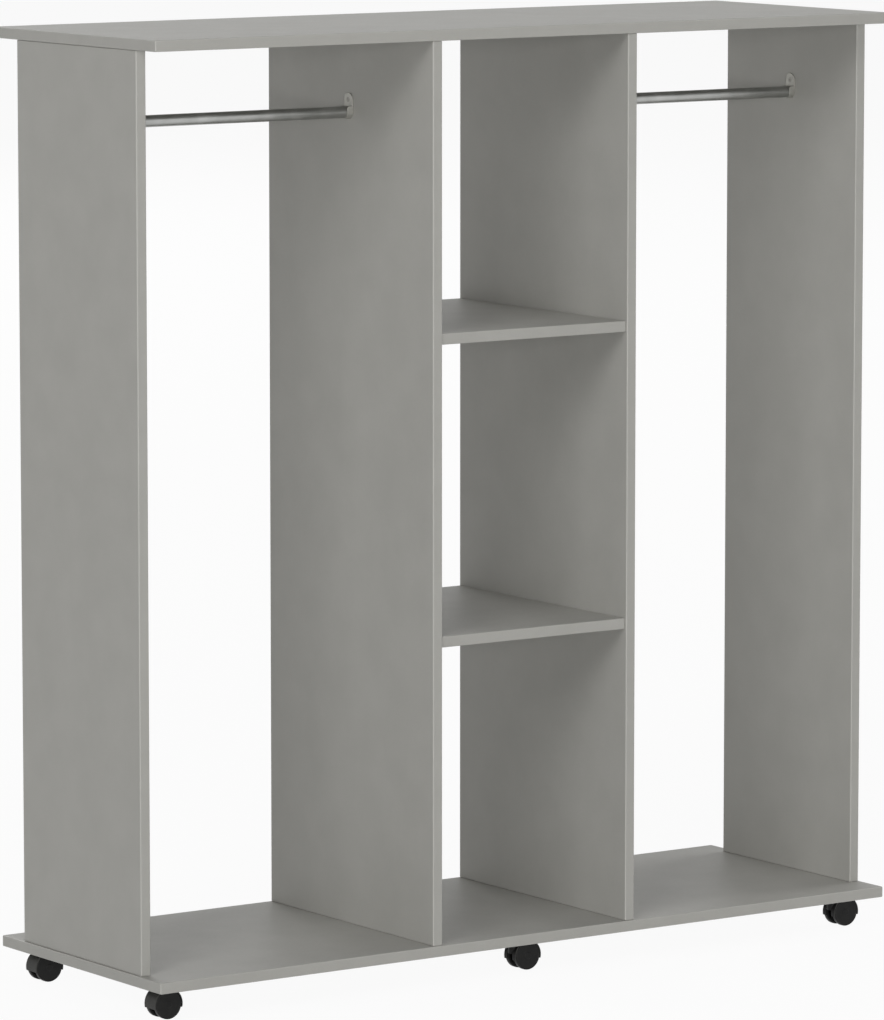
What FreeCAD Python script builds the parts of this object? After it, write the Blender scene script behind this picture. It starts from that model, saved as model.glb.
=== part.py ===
import FreeCAD, Part
import math
import os
import Sketcher

# Open wardrobe on swivel casters: a hanging bay on each side of a shelved middle bay.
# Millimetres. The origin is on the floor under the middle of the base, +Z is up and the
# front faces -Y. Left and right are as seen from the front.

SIZES = {
    # Boards
    "overall_width": 1200,
    "overall_depth": 400,
    "upright_height": 1212,
    "board_thickness": 15,
    "board_edge_radius": 1.5,
    "side_end_inset": 3,
    "side_setback": 52,
    "divider_setback": 2,
    "middle_bay_width": 304,
    "shelf_setback": 3,
    "upper_shelf_level": 824,
    "lower_shelf_level": 418,
    # Screws and dowels in the boards
    "fixing_edge_distance": 38,
    "fixing_pitch": 32,
    "fixing_fit": 0.02,
    "hole_end_gap": 0.5,
    "screw_length": 50,
    "screw_thread_diameter": 6.4,
    "screw_shank_diameter": 7,
    "screw_head_diameter": 10,
    "screw_head_height": 2,
    "cover_thickness": 1.2,
    "dowel_diameter": 8,
    "dowel_length": 30,
    "dowel_seat": 10,
    # Cam fittings under the shelves
    "cam_diameter": 15,
    "cam_floor": 3,
    "cam_setback": 24,
    "cam_throat": 2,
    "cam_slot_length": 10,
    "cam_slot_width": 1.4,
    "cam_slot_depth": 1.5,
    "cam_bolt_diameter": 6,
    "cam_bolt_bite": 11,
    "cam_bolt_head_diameter": 7,
    "cam_bolt_head_length": 3,
    # Hanging rails and their sockets
    "rail_diameter": 16,
    "rail_wall": 1,
    "rail_drop": 104,
    "rail_end_gap": 0.5,
    "socket_plate": 2,
    "socket_wall": 1.2,
    "socket_reach": 9.5,
    "socket_corner_radius": 3,
    "socket_fit": 0.3,
    "socket_screw_rise": 16.5,
    "socket_screw_diameter": 4,
    "socket_screw_head_diameter": 7.5,
    "socket_screw_bite": 11,
    # Casters
    "caster_end_inset": 50,
    "caster_edge_inset": 50,
    "caster_trail": 14,
    "wheel_diameter": 39,
    "wheel_width": 6.5,
    "wheel_rim": 3,
    "wheel_disc": 2,
    "wheel_hub_diameter": 12,
    "wheel_cap": 1.6,
    "wheel_edge_radius": 1,
    "wheel_side_gap": 0.5,
    "axle_diameter": 5,
    "axle_end_gap": 0.4,
    "running_fit": 0.05,
    "hood_gap": 0.5,
    "hood_wall": 1.5,
    "hood_headroom": 2,
    "hood_skirt": 5,
    "hood_web": 12,
    "hood_hub_diameter": 13,
    "boss_diameter": 17,
    "boss_lip": 3.5,
    "stem_diameter": 8,
    "stem_flange_width": 13,
    "stem_flange_thickness": 2.6,
    "stem_pivot_length": 14,
    "swivel_gap": 0.3,
    "insert_diameter": 11,
    "insert_floor": 3,
}

# Heights above the floor
AXLE_Z = "(Dim.wheel_diameter / 2)"
WELL_RADIUS = f"({AXLE_Z} + Dim.hood_gap)"
HOOD_RADIUS = f"({WELL_RADIUS} + Dim.hood_wall)"
BASE_BOTTOM = f"({AXLE_Z} + {HOOD_RADIUS} + Dim.hood_headroom)"
BASE_TOP = f"({BASE_BOTTOM} + Dim.board_thickness)"
TOP_BOTTOM = f"({BASE_TOP} + Dim.upright_height)"
TOP_TOP = f"({TOP_BOTTOM} + Dim.board_thickness)"
RAIL_Z = f"({TOP_BOTTOM} - Dim.rail_drop)"

# Distances from the middle plane to the uprights, and the depths of the boards
SIDE_INNER = "(Dim.overall_width / 2 - Dim.side_end_inset - Dim.board_thickness)"
SIDE_X = f"({SIDE_INNER} + Dim.board_thickness / 2)"
DIVIDER_INNER = "(Dim.middle_bay_width / 2)"
DIVIDER_X = f"({DIVIDER_INNER} + Dim.board_thickness / 2)"
DIVIDER_OUTER = f"({DIVIDER_INNER} + Dim.board_thickness)"
SIDE_DEPTH = "(Dim.overall_depth - 2 * Dim.side_setback)"
DIVIDER_DEPTH = "(Dim.overall_depth - 2 * Dim.divider_setback)"
SHELF_DEPTH = f"({DIVIDER_DEPTH} - 2 * Dim.shelf_setback)"

# Wheels stand on both sides of the hood's web
WHEEL_Y = "(Dim.hood_web / 2 + Dim.wheel_side_gap)"
CASTER_WIDTH = f"(2 * ({WHEEL_Y} + Dim.wheel_width))"

doc = FreeCAD.newDocument("open_wardrobe")
sheet = doc.addObject("Spreadsheet::Sheet", "Dim")
for row, (name, size) in enumerate(SIZES.items(), start=1):
    sheet.set(f"A{row}", name)
    sheet.set(f"B{row}", str(size))
    sheet.setAlias(f"B{row}", name)
doc.recompute()

nodes = []
UP = FreeCAD.Vector(0, 0, 1)
RIGHT = FreeCAD.Vector(1, 0, 0)
ROUNDING = 1e-4


def value_of(formula):
    return float(sheet.evalExpression(formula))


def mirrored(formula):
    """The same distance to both sides of a middle plane."""
    return [f"-({formula})", f"({formula})"]


# Bodies, sketches and features

def new_body(label, place=("0", "0", "0"), turn=0, axis=UP):
    """A piece of the wardrobe, with its own frame put at a place and turned about an axis."""
    body = doc.addObject("PartDesign::Body", label)
    body.Label = label
    body.Placement = FreeCAD.Placement(FreeCAD.Vector(), FreeCAD.Rotation(axis, turn))
    for letter, formula in zip("xyz", place):
        body.setExpression(f"Placement.Base.{letter}", formula)
    nodes.append(body)
    return body


def sketch_on(body, plane, name, offset="0"):
    """A sketch on one of the body's own planes, moved along the plane's normal."""
    sketch = body.newObject("Sketcher::SketchObject", name)
    support = next(item for item in body.Origin.OriginFeatures if item.Role == plane)
    sketch.AttachmentSupport = (support, [""])
    sketch.MapMode = "FlatFace"
    sketch.setExpression("AttachmentOffset.Base.z", offset)
    return sketch


def hold(sketch, kind, *place, formula):
    """A sketch dimension that follows a formula."""
    index = sketch.addConstraint(Sketcher.Constraint(kind, *place, value_of(formula)))
    sketch.setExpression(f"Constraints[{index}]", formula)


def hold_point(sketch, geometry, vertex, x, y):
    """Ties a point to the sketch's origin; a formula of 0 puts it on the axis itself."""
    for kind, axis, formula in (("DistanceX", -2, x), ("DistanceY", -1, y)):
        if formula == "0":
            sketch.addConstraint(Sketcher.Constraint("PointOnObject", geometry, vertex, axis))
        else:
            hold(sketch, kind, -1, 1, geometry, vertex, formula=formula)


def join(sketch, *ends):
    """Joins pairs of end points, each given as geometry and vertex."""
    for first, first_vertex, second, second_vertex in ends:
        link = Sketcher.Constraint("Coincident", first, first_vertex, second, second_vertex)
        sketch.addConstraint(link)


def dots(sketch, centres, diameter):
    """Circles of one diameter."""
    for x, y in centres:
        centre = FreeCAD.Vector(value_of(x), value_of(y), 0)
        circle = sketch.addGeometry(Part.Circle(centre, UP, value_of(diameter) / 2))
        hold_point(sketch, circle, 3, x, y)
        hold(sketch, "Diameter", circle, formula=diameter)


def outline(sketch, corners):
    """A closed run of straight lines through its corners."""
    points = [FreeCAD.Vector(value_of(x), value_of(y), 0) for x, y in corners]
    lines = []
    for start, end in zip(points, points[1:] + points[:1]):
        lines.append(sketch.addGeometry(Part.LineSegment(start, end)))
    for before, line, (x, y) in zip(lines[-1:] + lines[:-1], lines, corners):
        join(sketch, (before, 2, line, 1))
        hold_point(sketch, line, 1, x, y)


def rectangle(sketch, length, width, centre=("0", "0")):
    x, y = centre
    signs = (("-", "-"), ("+", "-"), ("+", "+"), ("-", "+"))
    outline(sketch, [(f"{x} {a} ({length}) / 2", f"{y} {b} ({width}) / 2") for a, b in signs])


def arc(sketch, x, y, radius, start, end):
    """An arc with its centre and radius held; start and end are first angles only."""
    centre = FreeCAD.Vector(value_of(x), value_of(y), 0)
    circle = Part.Circle(centre, UP, value_of(radius))
    geometry = sketch.addGeometry(Part.ArcOfCircle(circle, start, end))
    hold_point(sketch, geometry, 3, x, y)
    hold(sketch, "Radius", geometry, formula=radius)
    return geometry


def cut_disc(sketch, x, y, radius, level, above):
    """What lies above or below a level line in a disc."""
    rise = math.asin((value_of(level) - value_of(y)) / value_of(radius))
    span = (rise, math.pi - rise) if above else (math.pi - rise, 2 * math.pi + rise)
    round_edge = arc(sketch, x, y, radius, *span)
    drawn = sketch.Geometry[round_edge]
    line = sketch.addGeometry(Part.LineSegment(drawn.EndPoint, drawn.StartPoint))
    join(sketch, (round_edge, 2, line, 1), (line, 2, round_edge, 1))
    sketch.addConstraint(Sketcher.Constraint("Horizontal", line))
    hold(sketch, "DistanceY", -1, 1, line, 1, formula=level)


def cradle_outline(sketch, radius, level):
    """A half circle round the rail's axis with straight sides up to a level."""
    bottom = arc(sketch, "0", "0", radius, math.pi, 2 * math.pi)
    reach = value_of(radius)
    height = value_of(level)
    places = ((reach, 0), (reach, height), (-reach, height), (-reach, 0))
    corners = [FreeCAD.Vector(*place) for place in places]
    right, top, left = [sketch.addGeometry(Part.LineSegment(a, b)) for a, b in zip(corners, corners[1:])]
    join(sketch, (bottom, 2, right, 1), (right, 2, top, 1), (top, 2, left, 1), (left, 2, bottom, 1))
    for line in (right, left):
        sketch.addConstraint(Sketcher.Constraint("Vertical", line))
    for vertex in (1, 2):
        sketch.addConstraint(Sketcher.Constraint("PointOnObject", bottom, vertex, -1))
    sketch.addConstraint(Sketcher.Constraint("Horizontal", top))
    hold(sketch, "DistanceY", -1, 1, top, 1, formula=level)


def stadium(sketch, radius, rise):
    """Two half circles, one on the sketch's origin and one a rise above it, with straight sides."""
    bottom = arc(sketch, "0", "0", radius, math.pi, 2 * math.pi)
    high = value_of(rise)
    circle = Part.Circle(FreeCAD.Vector(0, high, 0), UP, value_of(radius))
    top = sketch.addGeometry(Part.ArcOfCircle(circle, 0, math.pi))
    hold_point(sketch, top, 3, "0", rise)
    sketch.addConstraint(Sketcher.Constraint("Equal", bottom, top))
    ends = (sketch.Geometry[bottom].EndPoint, sketch.Geometry[top].StartPoint,
            sketch.Geometry[top].EndPoint, sketch.Geometry[bottom].StartPoint)
    right = sketch.addGeometry(Part.LineSegment(ends[0], ends[1]))
    left = sketch.addGeometry(Part.LineSegment(ends[2], ends[3]))
    for first, second in ((bottom, right), (right, top), (top, left), (left, bottom)):
        sketch.addConstraint(Sketcher.Constraint("Tangent", first, 2, second, 1))


def extrude(body, kind, sketch, length, reverse=False, symmetric=False, narrows=None):
    """A Pad or Pocket of a sketch; narrows is the angle by which it tapers in."""
    feature = body.newObject(f"PartDesign::{kind}", f"{sketch.Name}_{kind.lower()}")
    feature.Profile = sketch
    feature.setExpression("Length", length)
    feature.Reversed = reverse
    if symmetric:
        feature.SideType = "Symmetric"
    if narrows:
        feature.setExpression("TaperAngle", f"-({narrows})")
    return feature


def pad(body, sketch, length, **ways):
    return extrude(body, "Pad", sketch, length, **ways)


def pocket(body, sketch, length, **ways):
    """A pocket that has to take something away."""
    doc.recompute()
    volume = body.Shape.Volume
    feature = extrude(body, "Pocket", sketch, length, **ways)
    doc.recompute()
    if body.Shape.Volume >= volume:
        raise RuntimeError(f"{body.Label}: {feature.Name} cuts nothing")
    return feature


def ease_edges(body, feature, radius, wanted=lambda edge: True):
    """Rounds a feature's edges, or those that a test on the edge picks."""
    doc.recompute()
    names = [f"Edge{i}" for i, edge in enumerate(feature.Shape.Edges, start=1) if wanted(edge)]
    fillet = body.newObject("PartDesign::Fillet", f"{feature.Name}_eased")
    fillet.Base = (feature, names)
    fillet.setExpression("Radius", radius)
    return fillet


# Where the fixings lie

def across(depth, inset):
    """The same distance in from the front and the back edge of a board."""
    return mirrored(f"{depth} / 2 - ({inset})")


SCREW_INSET = "Dim.fixing_edge_distance"
DOWEL_INSET = "Dim.fixing_edge_distance + Dim.fixing_pitch"
UPRIGHTS = [(x, SIDE_DEPTH) for x in mirrored(SIDE_X)] + [(x, DIVIDER_DEPTH) for x in mirrored(DIVIDER_X)]
SCREW_PLACES = [(x, y) for x, depth in UPRIGHTS for y in across(depth, SCREW_INSET)]
DOWEL_PLACES = [(x, y) for x, depth in UPRIGHTS for y in across(depth, DOWEL_INSET)]
CASTER_X = "Dim.overall_width / 2 - Dim.caster_end_inset"
CASTER_Y = "Dim.overall_depth / 2 - Dim.caster_edge_inset"
CASTER_PLACES = [(x, y) for y in mirrored(CASTER_Y) for x in (f"-({CASTER_X})", "0", f"({CASTER_X})")]
SHELF_LEVELS = ("Dim.upper_shelf_level", "Dim.lower_shelf_level")


def fitted(diameter):
    """The hole for a round piece of a given diameter."""
    return f"{diameter} + 2 * Dim.fixing_fit"


# Screws that hold the top and the base to the uprights

SCREW_TAPER = "atan((Dim.screw_head_diameter - Dim.screw_shank_diameter) / 2 / Dim.screw_head_height)"


def shank_length(sunk):
    return f"Dim.board_thickness - ({sunk}) - Dim.screw_head_height"


def thread_length(sunk):
    return f"Dim.screw_length - (Dim.board_thickness - ({sunk}))"


def board_screws(label, height, sunk, turn):
    """Screws with a countersunk head, sunk below the board's face, that point along -Z."""
    body = new_body(label, ("0", "0", height), turn, RIGHT)
    head = sketch_on(body, "XY_Plane", f"{label}_head", f"-({sunk})")
    dots(head, SCREW_PLACES, "Dim.screw_head_diameter")
    pad(body, head, "Dim.screw_head_height", reverse=True, narrows=SCREW_TAPER)
    shank = sketch_on(body, "XY_Plane", f"{label}_shank", f"-({sunk}) - Dim.screw_head_height")
    dots(shank, SCREW_PLACES, "Dim.screw_shank_diameter")
    pad(body, shank, shank_length(sunk), reverse=True)
    thread = sketch_on(body, "XY_Plane", f"{label}_thread", "-Dim.board_thickness")
    dots(thread, SCREW_PLACES, "Dim.screw_thread_diameter")
    pad(body, thread, thread_length(sunk), reverse=True)


def drill_for_screws(body, sunk, face, below):
    """Countersunk holes in the top or the base, from the board's outer face."""
    name = body.Label
    inward = "+" if below else "-"
    if sunk != "0":
        cover = sketch_on(body, "XY_Plane", f"{name}_cover_hole", face)
        dots(cover, SCREW_PLACES, fitted("Dim.screw_head_diameter"))
        pocket(body, cover, sunk, reverse=below)
    head = sketch_on(body, "XY_Plane", f"{name}_head_hole", f"{face} {inward} {sunk}")
    dots(head, SCREW_PLACES, fitted("Dim.screw_head_diameter"))
    pocket(body, head, "Dim.screw_head_height", reverse=below, narrows=SCREW_TAPER)
    shank = sketch_on(body, "XY_Plane", f"{name}_shank_hole", face)
    dots(shank, SCREW_PLACES, fitted("Dim.screw_shank_diameter"))
    pocket(body, shank, "Dim.board_thickness", reverse=below)


def board_dowels(label, height, turn):
    """Dowels that stand in the uprights and reach a seat's depth into the top or the base."""
    body = new_body(label, ("0", "0", height), turn, RIGHT)
    round_ends = sketch_on(body, "XY_Plane", f"{label}_round", "Dim.dowel_seat")
    dots(round_ends, DOWEL_PLACES, "Dim.dowel_diameter")
    pad(body, round_ends, "Dim.dowel_length", reverse=True)


# Top and base boards

def eased_board(label, place, length, width, height):
    """A board with all its edges eased, which stands on its frame's ground plane."""
    body = new_body(label, place)
    plan = sketch_on(body, "XY_Plane", f"{label}_plan")
    rectangle(plan, length, width)
    blank = pad(body, plan, height)
    ease_edges(body, blank, "Dim.board_edge_radius")
    return body


def flat_board(label, height):
    place = ("0", "0", height)
    return eased_board(label, place, "Dim.overall_width", "Dim.overall_depth", "Dim.board_thickness")


top_panel = flat_board("top_panel", TOP_BOTTOM)
drill_for_screws(top_panel, "Dim.cover_thickness", "Dim.board_thickness", below=False)
seats = sketch_on(top_panel, "XY_Plane", "top_panel_dowel_seats")
dots(seats, DOWEL_PLACES, fitted("Dim.dowel_diameter"))
pocket(top_panel, seats, "Dim.dowel_seat + Dim.hole_end_gap", reverse=True)

base_panel = flat_board("base_panel", BASE_BOTTOM)
drill_for_screws(base_panel, "0", "0", below=True)
seats = sketch_on(base_panel, "XY_Plane", "base_panel_dowel_seats", "Dim.board_thickness")
dots(seats, DOWEL_PLACES, fitted("Dim.dowel_diameter"))
pocket(base_panel, seats, "Dim.dowel_seat + Dim.hole_end_gap")
sleeves = sketch_on(base_panel, "XY_Plane", "base_panel_insert_holes")
dots(sleeves, CASTER_PLACES, fitted("Dim.insert_diameter"))
pocket(base_panel, sleeves, "Dim.board_thickness - Dim.insert_floor + Dim.fixing_fit", reverse=True)


# Side panels and dividers

SOCKET_SCREW_PLACE = ("0", "Dim.upright_height - Dim.rail_drop + Dim.socket_screw_rise")


def drill_face(body, name, side, places, diameter, depth):
    """Blind holes in an upright's right (+1) or left (-1) face; places are depth and height."""
    face = sketch_on(body, "YZ_Plane", name, f"{side} * Dim.board_thickness / 2")
    dots(face, places, fitted(diameter))
    pocket(body, face, f"{depth} + Dim.hole_end_gap", reverse=side < 0)


def drill_end(body, name, level, up, depth, inset, diameter, hole_depth):
    """Two holes in an upright's top or bottom end."""
    end = sketch_on(body, "XY_Plane", name, level)
    dots(end, [("0", y) for y in across(depth, inset)], fitted(diameter))
    pocket(body, end, f"{hole_depth} + Dim.hole_end_gap", reverse=up)


def upright(label, x, depth, socket_side):
    """A standing board with screw and dowel holes in both ends and a hole for a rail socket."""
    body = eased_board(label, (x, "0", BASE_TOP), "Dim.board_thickness", depth, "Dim.upright_height")
    in_upright = "Dim.dowel_length - Dim.dowel_seat"
    for end, level, up, sunk in (("bottom", "0", True, "0"),
                                 ("top", "Dim.upright_height", False, "Dim.cover_thickness")):
        drill_end(body, f"{label}_{end}_screws", level, up, depth, SCREW_INSET,
                  "Dim.screw_thread_diameter", thread_length(sunk))
        drill_end(body, f"{label}_{end}_dowels", level, up, depth, DOWEL_INSET,
                  "Dim.dowel_diameter", in_upright)
    drill_face(body, f"{label}_socket_hole", socket_side, [SOCKET_SCREW_PLACE],
               "Dim.socket_screw_diameter", "Dim.socket_screw_bite")
    return body


def shelf_ends(inset):
    """Depths and heights, above the base, of a kind of fixing at the end of both shelves."""
    middle = [f"{level} - Dim.board_thickness / 2" for level in SHELF_LEVELS]
    return [(y, z) for z in middle for y in across(SHELF_DEPTH, inset)]


upright("left_side_panel", f"-{SIDE_X}", SIDE_DEPTH, 1)
upright("right_side_panel", SIDE_X, SIDE_DEPTH, -1)
for label, x, shelf_side in (("left_divider", f"-{DIVIDER_X}", 1), ("right_divider", DIVIDER_X, -1)):
    divider = upright(label, x, DIVIDER_DEPTH, -shelf_side)
    drill_face(divider, f"{label}_bolt_holes", shelf_side, shelf_ends(SCREW_INSET),
               "Dim.cam_bolt_diameter", "Dim.cam_bolt_bite")
    drill_face(divider, f"{label}_shelf_dowels", shelf_side, shelf_ends(DOWEL_INSET),
               "Dim.dowel_diameter", "Dim.dowel_seat")


# Shelves between the dividers

CAM_HEIGHT = "Dim.board_thickness - Dim.cam_floor"
CAM_PLACES = [(x, y) for x in mirrored(f"{DIVIDER_INNER} - Dim.cam_setback")
              for y in across(SHELF_DEPTH, SCREW_INSET)]


def shelf(label, level):
    place = ("0", "0", f"{BASE_TOP} + {level} - Dim.board_thickness")
    body = eased_board(label, place, "Dim.middle_bay_width", SHELF_DEPTH, "Dim.board_thickness")
    cams = sketch_on(body, "XY_Plane", f"{label}_cam_holes")
    dots(cams, CAM_PLACES, fitted("Dim.cam_diameter"))
    pocket(body, cams, f"{CAM_HEIGHT} + Dim.fixing_fit", reverse=True)
    for side, word in ((-1, "left"), (1, "right")):
        for kind, inset, diameter, depth in (
                ("bolts", SCREW_INSET, "Dim.cam_bolt_head_diameter", "Dim.cam_setback"),
                ("dowels", DOWEL_INSET, "Dim.dowel_diameter",
                 "Dim.dowel_length - Dim.dowel_seat + Dim.hole_end_gap")):
            end = sketch_on(body, "YZ_Plane", f"{label}_{word}_{kind}", f"{side} * {DIVIDER_INNER}")
            dots(end, [(y, "Dim.board_thickness / 2") for y in across(SHELF_DEPTH, inset)], fitted(diameter))
            pocket(body, end, depth, reverse=side < 0)


shelf("upper_shelf", SHELF_LEVELS[0])
shelf("lower_shelf", SHELF_LEVELS[1])


# Fixings of the boards: screws, covers, dowels, cams and cam bolts

board_screws("top_screws", TOP_TOP, "Dim.cover_thickness", 0)
board_screws("base_screws", BASE_BOTTOM, "0", 180)
covers = new_body("top_screw_covers", ("0", "0", TOP_TOP))
discs = sketch_on(covers, "XY_Plane", "cover_discs")
dots(discs, SCREW_PLACES, "Dim.screw_head_diameter")
pad(covers, discs, "Dim.cover_thickness", reverse=True)
board_dowels("top_dowels", TOP_BOTTOM, 0)
board_dowels("base_dowels", BASE_TOP, 180)

shelf_dowels = new_body("shelf_dowels", ("0", "0", BASE_TOP))
cam_bolts = new_body("shelf_cam_bolts", ("0", "0", BASE_TOP))
for side, word in ((-1, "left"), (1, "right")):
    rods = sketch_on(shelf_dowels, "YZ_Plane", f"shelf_dowels_{word}",
                     f"{side} * ({DIVIDER_INNER} + Dim.dowel_seat)")
    dots(rods, shelf_ends(DOWEL_INSET), "Dim.dowel_diameter")
    pad(shelf_dowels, rods, "Dim.dowel_length", reverse=side > 0)
    shafts = sketch_on(cam_bolts, "YZ_Plane", f"cam_bolt_shafts_{word}",
                       f"{side} * ({DIVIDER_INNER} + Dim.cam_bolt_bite)")
    dots(shafts, shelf_ends(SCREW_INSET), "Dim.cam_bolt_diameter")
    pad(cam_bolts, shafts, "Dim.cam_bolt_bite + Dim.cam_setback - Dim.cam_bolt_head_length", reverse=side > 0)
    heads = sketch_on(cam_bolts, "YZ_Plane", f"cam_bolt_heads_{word}",
                      f"{side} * ({DIVIDER_INNER} - Dim.cam_setback + Dim.cam_bolt_head_length)")
    dots(heads, shelf_ends(SCREW_INSET), "Dim.cam_bolt_head_diameter")
    pad(cam_bolts, heads, "Dim.cam_bolt_head_length", reverse=side > 0)

cam_locks = new_body("shelf_cam_locks", ("0", "0", BASE_TOP))
for level in SHELF_LEVELS:
    word = level.split(".")[1]
    underside = f"{level} - Dim.board_thickness"
    rounds = sketch_on(cam_locks, "XY_Plane", f"cam_rounds_{word}", underside)
    dots(rounds, CAM_PLACES, "Dim.cam_diameter")
    pad(cam_locks, rounds, CAM_HEIGHT)
    slots = sketch_on(cam_locks, "XY_Plane", f"cam_slots_{word}", underside)
    for place in CAM_PLACES:
        rectangle(slots, "Dim.cam_slot_length", "Dim.cam_slot_width", place)
    pocket(cam_locks, slots, "Dim.cam_slot_depth", reverse=True)
for side, word in ((-1, "left"), (1, "right")):
    throats = sketch_on(cam_locks, "YZ_Plane", f"cam_throats_{word}", f"{side} * {DIVIDER_INNER}")
    dots(throats, shelf_ends(SCREW_INSET), fitted("Dim.cam_bolt_head_diameter"))
    pocket(cam_locks, throats, "Dim.cam_setback + Dim.cam_throat", reverse=side < 0)


# Hanging rails, and the open cradles that they lie in

RAIL_LENGTH = f"{SIDE_INNER} - {DIVIDER_OUTER} - 2 * (Dim.socket_plate + Dim.rail_end_gap)"
BAY_MIDDLE = f"({SIDE_INNER} + {DIVIDER_OUTER}) / 2"
CRADLE_INSIDE = "(Dim.rail_diameter / 2 + Dim.socket_fit)"
CRADLE_OUTSIDE = f"({CRADLE_INSIDE} + Dim.socket_wall)"
SOCKET_SCREW_TAPER = ("atan((Dim.socket_screw_head_diameter - Dim.socket_screw_diameter) / 2"
                      " / Dim.socket_plate)")


def rail(label, x):
    body = new_body(label, (x, "0", RAIL_Z))
    ring = sketch_on(body, "YZ_Plane", f"{label}_ring")
    dots(ring, [("0", "0")], "Dim.rail_diameter")
    dots(ring, [("0", "0")], "Dim.rail_diameter - 2 * Dim.rail_wall")
    pad(body, ring, RAIL_LENGTH, symmetric=True)


def rail_socket(label, x, turn):
    """A plate with a tab for its screw and a cradle that is open at the top; it points along +X."""
    body = new_body(label, (x, "0", RAIL_Z), turn)
    plate = sketch_on(body, "YZ_Plane", f"{label}_plate")
    stadium(plate, CRADLE_OUTSIDE, "Dim.socket_screw_rise")
    pad(body, plate, "Dim.socket_plate")
    cup = sketch_on(body, "YZ_Plane", f"{label}_cup")
    cradle_outline(cup, CRADLE_OUTSIDE, "Dim.rail_diameter / 2")
    pad(body, cup, "Dim.socket_reach")
    seat = sketch_on(body, "YZ_Plane", f"{label}_seat", "Dim.socket_plate")
    cradle_outline(seat, CRADLE_INSIDE, "Dim.rail_diameter")
    cradle = pocket(body, seat, "Dim.socket_reach", reverse=True)
    reach = value_of("Dim.socket_reach")
    wall_top = value_of("Dim.rail_diameter / 2")

    def at_free_corner(edge):
        box = edge.BoundBox
        return abs(box.XMin - reach) < ROUNDING and abs(box.ZMin - wall_top) < ROUNDING

    ease_edges(body, cradle, "Dim.socket_corner_radius", at_free_corner)
    hole = sketch_on(body, "YZ_Plane", f"{label}_hole", "Dim.socket_plate")
    dots(hole, [("0", "Dim.socket_screw_rise")], fitted("Dim.socket_screw_head_diameter"))
    pocket(body, hole, "Dim.socket_plate", narrows=SOCKET_SCREW_TAPER)


# Place of each socket's board face, and the way it points: right (+1) or left (-1)
SOCKETS = (
    ("left_rail_outer_socket", f"-{SIDE_INNER}", 1),
    ("left_rail_inner_socket", f"-{DIVIDER_OUTER}", -1),
    ("right_rail_inner_socket", DIVIDER_OUTER, 1),
    ("right_rail_outer_socket", SIDE_INNER, -1),
)
rail("left_rail", f"-({BAY_MIDDLE})")
rail("right_rail", BAY_MIDDLE)
socket_screws = new_body("socket_screws", ("0", "0", RAIL_Z))
for label, face, way in SOCKETS:
    rail_socket(label, face, 0 if way > 0 else 180)
    tab = f"{face} + {way} * Dim.socket_plate"
    head = sketch_on(socket_screws, "YZ_Plane", f"{label}_screw_head", tab)
    dots(head, [("0", "Dim.socket_screw_rise")], "Dim.socket_screw_head_diameter")
    pad(socket_screws, head, "Dim.socket_plate", reverse=way > 0, narrows=SOCKET_SCREW_TAPER)
    thread = sketch_on(socket_screws, "YZ_Plane", f"{label}_screw_thread", face)
    dots(thread, [("0", "Dim.socket_screw_rise")], "Dim.socket_screw_diameter")
    pad(socket_screws, thread, "Dim.socket_screw_bite", reverse=way > 0)


# Casters. A caster's own frame has its swivel axis on the origin and its wheels towards +X.

INSERT_LENGTH = "Dim.board_thickness - Dim.insert_floor"
FLANGE_BOTTOM = f"({BASE_BOTTOM} - Dim.stem_flange_thickness)"
BOSS_TOP = f"({FLANGE_BOTTOM} - Dim.swivel_gap)"
BOSS_BOTTOM = f"({AXLE_Z} + Dim.boss_lip)"
PIVOT_HOLE = "Dim.stem_diameter + 2 * Dim.running_fit"

inserts = new_body("caster_inserts", ("0", "0", BASE_BOTTOM))
sleeves = sketch_on(inserts, "XY_Plane", "insert_rings")
dots(sleeves, CASTER_PLACES, "Dim.insert_diameter")
dots(sleeves, CASTER_PLACES, fitted("Dim.stem_diameter"))
pad(inserts, sleeves, INSERT_LENGTH)


def caster_stem(label, place):
    """A threaded end in the base, a hexagon flange under it and a pivot that the hood turns on."""
    body = new_body(label, place)
    flange = sketch_on(body, "XY_Plane", f"{label}_flange", FLANGE_BOTTOM)
    half = "(Dim.stem_flange_width / 2)"
    point = "(Dim.stem_flange_width / sqrt(3))"
    outline(flange, [(point, "0"), (f"{point} / 2", half), (f"-{point} / 2", half),
                     (f"-{point}", "0"), (f"-{point} / 2", f"-{half}"), (f"{point} / 2", f"-{half}")])
    pad(body, flange, "Dim.stem_flange_thickness")
    thread = sketch_on(body, "XY_Plane", f"{label}_thread", BASE_BOTTOM)
    dots(thread, [("0", "0")], "Dim.stem_diameter")
    pad(body, thread, f"{INSERT_LENGTH} - Dim.hole_end_gap")
    pivot = sketch_on(body, "XY_Plane", f"{label}_pivot", FLANGE_BOTTOM)
    dots(pivot, [("0", "0")], "Dim.stem_diameter")
    pad(body, pivot, "Dim.stem_pivot_length", reverse=True)


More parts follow.
